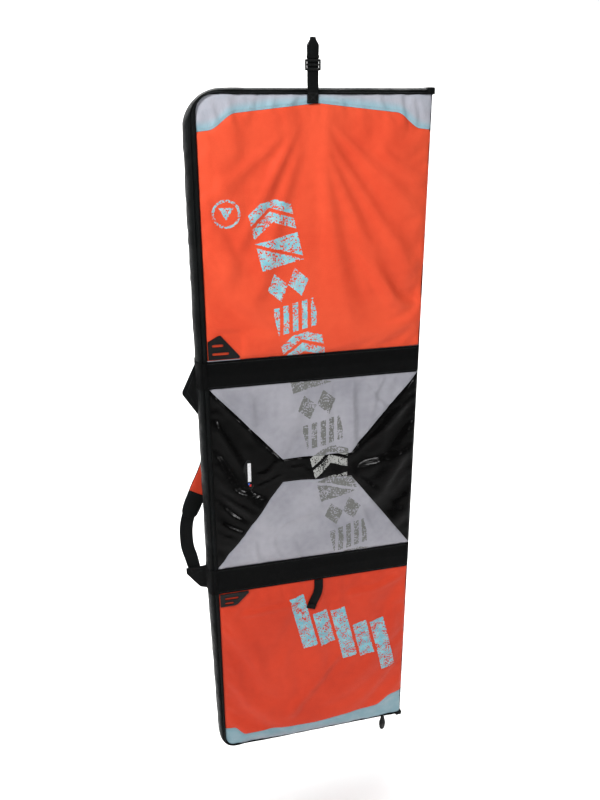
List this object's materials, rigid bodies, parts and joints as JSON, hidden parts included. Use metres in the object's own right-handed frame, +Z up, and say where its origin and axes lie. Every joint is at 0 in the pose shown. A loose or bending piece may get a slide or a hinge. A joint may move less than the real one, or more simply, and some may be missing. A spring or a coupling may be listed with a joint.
{
  "type": "kitesurfing kite bag",
  "caption": "Long flat padded zip bag that carries a kitesurfing kite, folds in three, hangs from a webbing loop and has a padded carrying strap on one side.",
  "frame": {"origin": "top of the inside of the webbing loop that the bag hangs from", "axes": "+Z up along the bag's length, +X to the right seen from the front, the printed front faces -Y"},
  "size_m": [0.6166, 0.1053, 1.9135],
  "materials": {
    "orange_cloth": "plain-woven orange polyester, matt with a faint sheen and a pale blue screen print",
    "grey_blue_cloth": "smooth grey-blue polyester trim",
    "silver_white_cloth": "satin silver-white polyester with a worn grey print",
    "coated_black_cloth": "glossy coated black cloth with soft creases",
    "back_cloth": "coarse black polyester",
    "gusset_cloth": "black polyester with bound edges",
    "webbing": "ribbed black webbing",
    "foam": "closed-cell foam sheet",
    "lining": "thin grey taffeta",
    "rubber": "satin moulded black rubber",
    "zip_nylon": "black nylon coil on woven tape",
    "slider_metal": "black enamelled die-cast slider",
    "moulded_plastic": "black acetal, lightly worn"
  },
  "bodies": {
    "top_section": {"back_skin_upper": "back_cloth", "back_foam_upper": "foam", "back_lining_upper": "lining", "back_gusset_upper": "gusset_cloth", "back_zip_tape_upper": "zip_nylon", "spine_upper": "gusset_cloth"},
    "mid_section": {"back_skin_middle": "back_cloth", "back_foam_middle": "foam", "back_lining_middle": "lining", "back_gusset_middle": "gusset_cloth", "back_zip_tape_middle": "zip_nylon", "spine_middle": "gusset_cloth", "back_band_upper": "webbing", "back_band_lower": "webbing", "wing_upper": "webbing", "wing_lower": "webbing"},
    "bottom_section": {"back_skin_lower": "back_cloth", "back_foam_lower": "foam", "back_lining_lower": "lining", "back_gusset_lower": "gusset_cloth", "back_zip_tape_lower": "zip_nylon", "spine_lower": "gusset_cloth"},
    "lid_top": {"front_panel_upper": "orange_cloth", "top_trim": "grey_blue_cloth", "front_foam_upper": "foam", "front_lining_upper": "lining", "front_gusset_upper": "gusset_cloth", "front_zip_tape_upper": "zip_nylon", "lash_patch_upper": "rubber", "strap_anchor": "webbing"},
    "lid_mid": {"white_panel_upper": "silver_white_cloth", "white_panel_lower": "silver_white_cloth", "black_panel": "coated_black_cloth", "front_band_upper": "webbing", "front_band_lower": "webbing", "front_foam_middle": "foam", "front_lining_middle": "lining", "front_gusset_middle": "gusset_cloth", "front_zip_tape_middle": "zip_nylon", "oval_badge": "rubber"},
    "lid_bottom": {"front_panel_lower": "orange_cloth", "bottom_trim": "grey_blue_cloth", "front_foam_lower": "foam", "front_lining_lower": "lining", "front_gusset_lower": "gusset_cloth", "front_zip_tape_lower": "zip_nylon", "lash_patch_lower": "rubber"},
    "hanging_strap": {"hang_strap": "webbing"},
    "lock": {"ladder_lock": "moulded_plastic"},
    "tail": {"strap_tail": "webbing"},
    "slider": {"zip_slider": "slider_metal"},
    "pull": {"zip_pull": "moulded_plastic"},
    "carrying_strap": {"carry_strap": "webbing", "shoulder_pad": "orange_cloth"}
  },
  "joints": [
    {"name": "fold_upper", "type": "hinge", "parent": "top_section", "child": "mid_section", "pos_m": [0, -0.0087, -0.6866], "axis": [1, 0, 0], "range_deg": [-178, 0]},
    {"name": "fold_lower", "type": "hinge", "parent": "mid_section", "child": "bottom_section", "pos_m": [0, -0.0517, -1.3244], "axis": [1, 0, 0], "range_deg": [-178, 0]},
    {"name": "lid_open", "type": "hinge", "parent": "top_section", "child": "lid_top", "pos_m": [0.2765, 0.0013, -0.3913], "axis": [0, 0, 1], "range_deg": [0, 165]},
    {"name": "lid_open_middle", "type": "hinge", "parent": "mid_section", "child": "lid_mid", "pos_m": [0.2765, 0.0013, -1.0055], "axis": [0, 0, 1], "range_deg": [0, 165]},
    {"name": "lid_open_lower", "type": "hinge", "parent": "bottom_section", "child": "lid_bottom", "pos_m": [0.2765, 0.0013, -1.5852], "axis": [0, 0, 1], "range_deg": [0, 165]},
    {"name": "strap_fold", "type": "hinge", "parent": "lid_top", "child": "hanging_strap", "pos_m": [0, -0.0035, -0.093], "axis": [-1, 0, 0], "range_deg": [-170, 0]},
    {"name": "lock_slide", "type": "slide", "parent": "hanging_strap", "child": "lock", "axis": [0, 0, 1], "range_m": [-0.025, 0]},
    {"name": "tail_swing", "type": "hinge", "parent": "lid_bottom", "child": "tail", "pos_m": [0.0145, -0.0027, -1.3254], "axis": [-1, 0, 0], "range_deg": [0, 120]},
    {"name": "zip_run", "type": "slide", "parent": "bottom_section", "child": "slider", "axis": [-1, 0, 0], "range_m": [0, 0.39]},
    {"name": "pull_swing", "type": "hinge", "parent": "slider", "child": "pull", "pos_m": [0.2315, 0.0293, -1.8515], "axis": [1, 0, 0], "range_deg": [-45, 45]},
    {"name": "carry_swing", "type": "hinge", "parent": "mid_section", "child": "carrying_strap", "pos_m": [-0.2965, 0.0463, -0.996], "axis": [0, 0, 1], "range_deg": [0, 100]}
  ],
  "couplings": [
    {"joint": "lid_open_middle", "follows": "lid_open", "ratio": 1},
    {"joint": "lid_open_lower", "follows": "lid_open", "ratio": 1}
  ]
}
